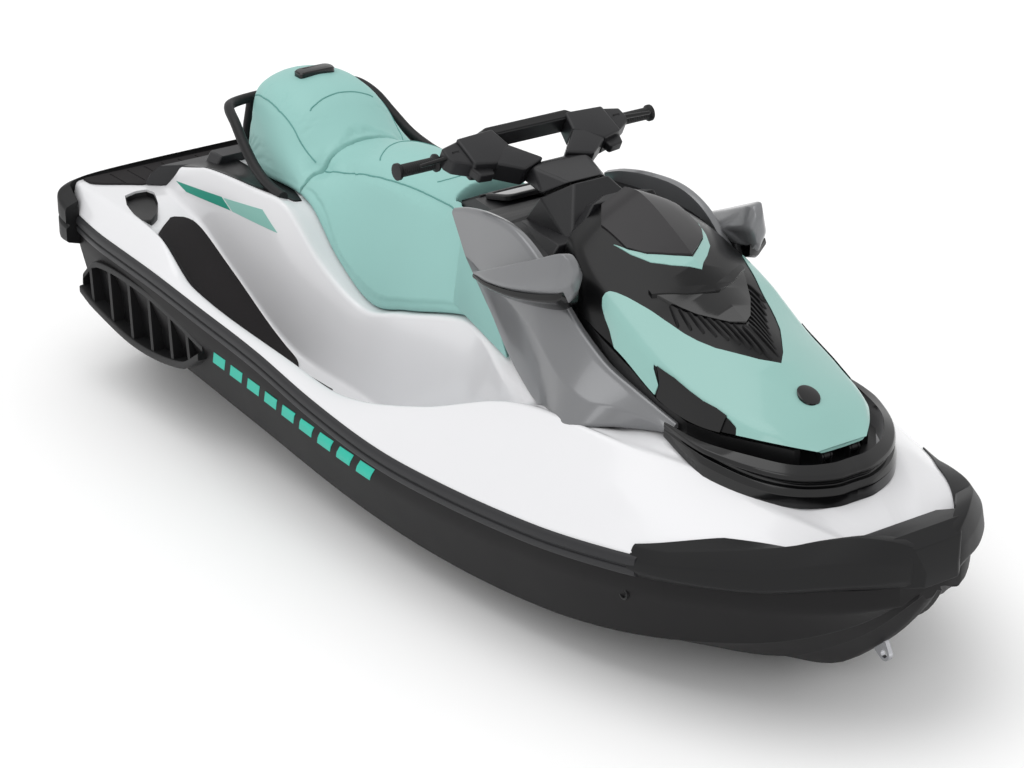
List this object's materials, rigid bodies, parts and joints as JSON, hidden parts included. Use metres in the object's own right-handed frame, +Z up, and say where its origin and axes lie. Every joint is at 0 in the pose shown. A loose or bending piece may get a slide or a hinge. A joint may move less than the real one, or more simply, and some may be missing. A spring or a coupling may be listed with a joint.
{
  "type": "personal watercraft",
  "caption": "Sit-down personal watercraft with a straddle seat, steering handlebar, front storage lid and jet pump.",
  "frame": {"origin": "middle of the craft's box in plan, on the surface that its keel pad and ride plate stand on", "axes": "+X to the bow, +Y to port, +Z up"},
  "size_m": [3.315, 1.2612, 1.1163],
  "materials": {
    "hull_black": "moulded hull, fine matt grain",
    "deck_white": "gloss gelcoat",
    "trim_black": "moulded, satin",
    "mat_black": "foam deck mat",
    "cowl_grey": "metallic paint on a moulded cowl",
    "gloss_black": "gloss",
    "engine_metal": "cast",
    "pump_metal": "cast and machined",
    "steel": "stainless steel",
    "seat_mint": "marine vinyl over foam",
    "panel_mint": "gloss paint",
    "grip_rubber": "ribbed rubber"
  },
  "bodies": {
    "craft": {"hull": "hull_black", "deck": "deck_white", "rub_rail": "trim_black", "bow_bumper": "hull_black", "stern_bumper": "hull_black", "sponson_right": "trim_black", "sponson_left": "trim_black", "footwell_mat_right": "mat_black", "footwell_mat_left": "mat_black", "rear_deck_mat": "mat_black", "rear_fairing": "mat_black", "side_cowl_right": "cowl_grey", "side_cowl_left": "cowl_grey", "front_cowl": "trim_black", "front_grille": "gloss_black", "console": "trim_black", "gauge": "gloss_black", "storage_bin": "trim_black", "mirror_right": "cowl_grey", "mirror_left": "cowl_grey", "engine": "engine_metal", "pump_housing": "pump_metal", "ride_plate": "pump_metal", "intake_grate": "pump_metal", "bow_eye": "steel", "tow_eye": "steel", "grab_rail_right": "trim_black", "grab_rail_left": "trim_black", "seat_front": "seat_mint", "seat_rear": "seat_mint", "hood_hinge": "steel", "step_brackets": "pump_metal"},
    "bar": {"handlebar": "trim_black", "grips": "grip_rubber", "levers": "trim_black"},
    "lid": {"hood": "trim_black", "hood_panel": "panel_mint", "hood_vent": "trim_black", "hood_knuckles": "steel"},
    "glove": {"glove_lid": "trim_black"},
    "rotor": {"impeller": "steel"},
    "jet": {"nozzle": "trim_black"},
    "gate": {"reverse_bucket": "trim_black"},
    "step": {"boarding_step": "trim_black"}
  },
  "joints": [
    {"name": "steering", "type": "hinge", "parent": "craft", "child": "bar", "pos_m": [0.3, 0, 0.905], "axis": [-0.5736, 0, 0.8192], "range_deg": [-22, 22]},
    {"name": "nozzle_steer", "type": "hinge", "parent": "craft", "child": "jet", "pos_m": [-1.53, 0, 0.13], "axis": [0, 0, 1], "range_deg": [-20, 20]},
    {"name": "reverse_gate", "type": "hinge", "parent": "craft", "child": "gate", "pos_m": [-1.53, 0, 0.13], "axis": [0, -1, 0], "range_deg": [0, 60]},
    {"name": "impeller_spin", "type": "hinge", "parent": "craft", "child": "rotor", "pos_m": [-1.3, 0, 0.13], "axis": [1, 0, 0], "continuous": true},
    {"name": "storage_lid", "type": "hinge", "parent": "craft", "child": "lid", "pos_m": [1.285, 0, 0.622], "axis": [0, 1, 0], "range_deg": [0, 55]},
    {"name": "glove_box_lid", "type": "hinge", "parent": "craft", "child": "glove", "pos_m": [-0.0739, 0, 0.89008], "axis": [0, 1, 0], "range_deg": [0, 35]},
    {"name": "boarding_step_fold", "type": "hinge", "parent": "craft", "child": "step", "pos_m": [-1.592, 0, 0.3], "axis": [0, -1, 0], "range_deg": [0, 150]}
  ],
  "couplings": [
    {"joint": "nozzle_steer", "follows": "steering", "ratio": -0.9}
  ]
}
